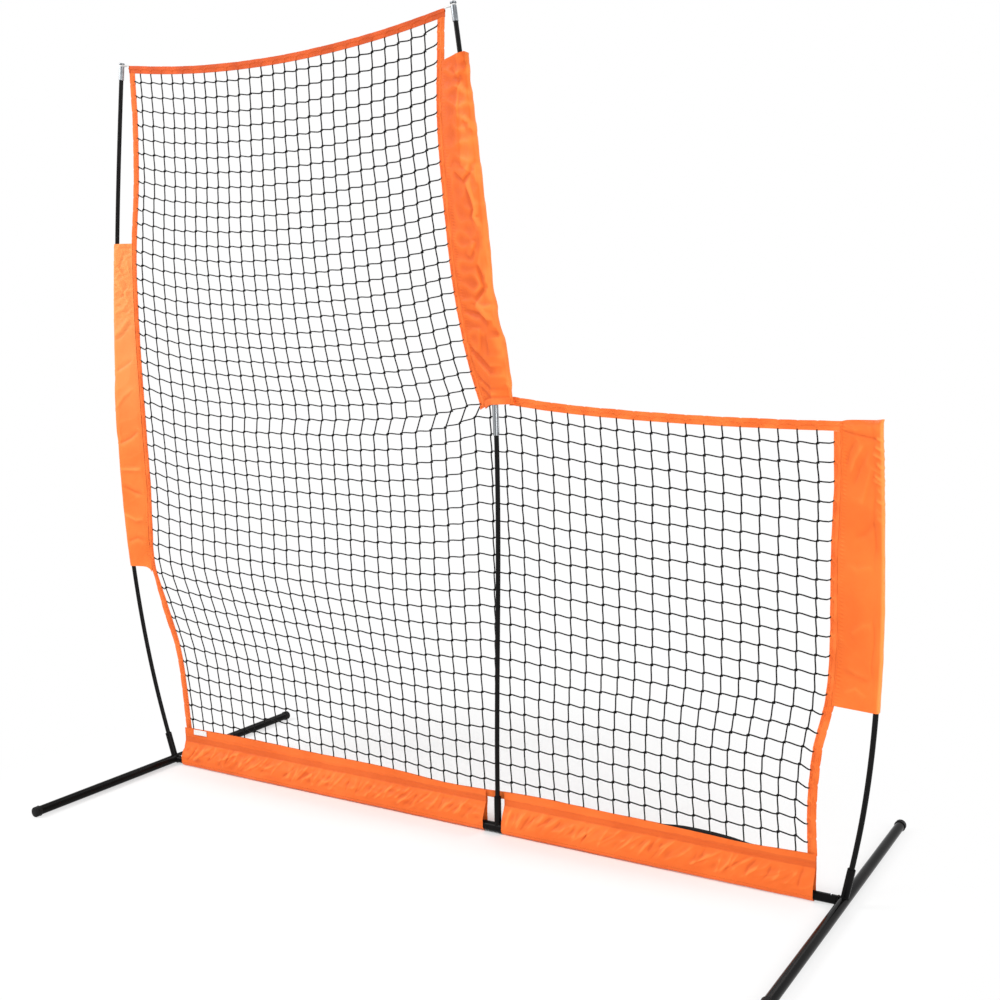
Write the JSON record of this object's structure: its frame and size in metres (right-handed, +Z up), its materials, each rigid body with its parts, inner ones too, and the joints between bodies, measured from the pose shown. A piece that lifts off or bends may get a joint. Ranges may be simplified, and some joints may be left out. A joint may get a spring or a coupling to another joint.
{
  "type": "baseball l screen",
  "caption": "Free-standing pitcher's L-screen: tube base with long feet, bent fibreglass poles and a net with one low side, bound in orange cloth with sleeves and base flaps.",
  "frame": {"origin": "on the floor, at the bottom centre of the bounding box, in the plane of the poles", "axes": "+X along the crossbar from the tall side to the low side, +Y to the rear, where the net hangs, +Z up"},
  "size_m": [2.3965, 1.08, 2.16],
  "materials": {
    "black_enamel": "gloss black powder coat on steel tube",
    "black_rubber": "moulded black rubber, satin",
    "black_fibreglass": "smooth black pultruded fibreglass rod",
    "bright_steel": "bright zinc-plated steel",
    "spring_steel": "spring steel strip",
    "net_cord": "knotted black polyethylene twine",
    "orange_binding": "orange woven polyester binding tape, stitched",
    "orange_cloth": "orange coated polyester cloth",
    "closure_tape": "black hook and loop tape",
    "white_tag": "white satin tag, blank",
    "white_elastic": "white elastic cord"
  },
  "bodies": {
    "root": {"crossbar_left": "black_enamel", "crossbar_right": "black_enamel", "centre_coupler": "black_enamel", "left_foot_tube": "black_enamel", "right_foot_tube": "black_enamel", "left_foot_stub": "black_enamel", "right_foot_stub": "black_enamel", "left_pole_socket": "black_enamel", "right_pole_socket": "black_enamel", "left_front_foot_cap": "black_rubber", "left_rear_foot_cap": "black_rubber", "right_front_foot_cap": "black_rubber", "right_rear_foot_cap": "black_rubber", "left_lower_pole": "black_fibreglass", "left_upper_pole": "black_fibreglass", "centre_lower_pole": "black_fibreglass", "centre_upper_pole": "black_fibreglass", "right_pole": "black_fibreglass", "left_ferrule": "bright_steel", "centre_ferrule": "bright_steel", "left_pole_tip": "bright_steel", "centre_pole_tip": "bright_steel", "right_pole_tip": "bright_steel", "coupler_rivet": "bright_steel", "left_foot_spring": "spring_steel", "right_foot_spring": "spring_steel", "coupler_spring": "spring_steel", "net_tall_side": "net_cord", "net_low_side": "net_cord", "top_binding": "orange_binding", "left_binding": "orange_binding", "step_side_binding": "orange_binding", "step_top_binding": "orange_binding", "right_binding": "orange_binding", "hem_strap": "orange_binding", "left_sleeve": "orange_cloth", "centre_sleeve": "orange_cloth", "right_sleeve": "orange_cloth", "base_pocket_left": "orange_cloth", "base_pocket_right": "orange_cloth", "hook_strip_left": "closure_tape", "hook_strip_right": "closure_tape", "left_corner_loop": "white_elastic", "centre_corner_loop": "white_elastic"},
    "left_foot_button": {"left_foot_button": "bright_steel"},
    "right_foot_button": {"right_foot_button": "bright_steel"},
    "coupler_button": {"coupler_button": "bright_steel"},
    "base_flap_left": {"base_flap_left": "orange_cloth", "loop_strip_left": "closure_tape", "blank_tag": "white_tag"},
    "base_flap_right": {"base_flap_right": "orange_cloth", "loop_strip_right": "closure_tape"}
  },
  "joints": [
    {"name": "left_foot_button_press", "type": "slide", "parent": "root", "child": "left_foot_button", "axis": [0, 0, -1], "range_m": [0, 0.0041], "stiffness_N_per_m": 800, "springref_m": -0.002, "deforming": ["left_foot_spring"]},
    {"name": "right_foot_button_press", "type": "slide", "parent": "root", "child": "right_foot_button", "axis": [0, 0, -1], "range_m": [0, 0.0041], "stiffness_N_per_m": 800, "springref_m": -0.002, "deforming": ["right_foot_spring"]},
    {"name": "coupler_button_press", "type": "slide", "parent": "root", "child": "coupler_button", "axis": [0, 0, -1], "range_m": [0, 0.0042], "stiffness_N_per_m": 800, "springref_m": -0.002, "deforming": ["coupler_spring"]},
    {"name": "left_flap_open", "type": "hinge", "parent": "root", "child": "base_flap_left", "pos_m": [-0.4, -0.0142, 0.01512], "axis": [1, 0, 0], "range_deg": [0, 100]},
    {"name": "right_flap_open", "type": "hinge", "parent": "root", "child": "base_flap_right", "pos_m": [0.6, -0.0142, 0.01512], "axis": [1, 0, 0], "range_deg": [0, 100]}
  ]
}
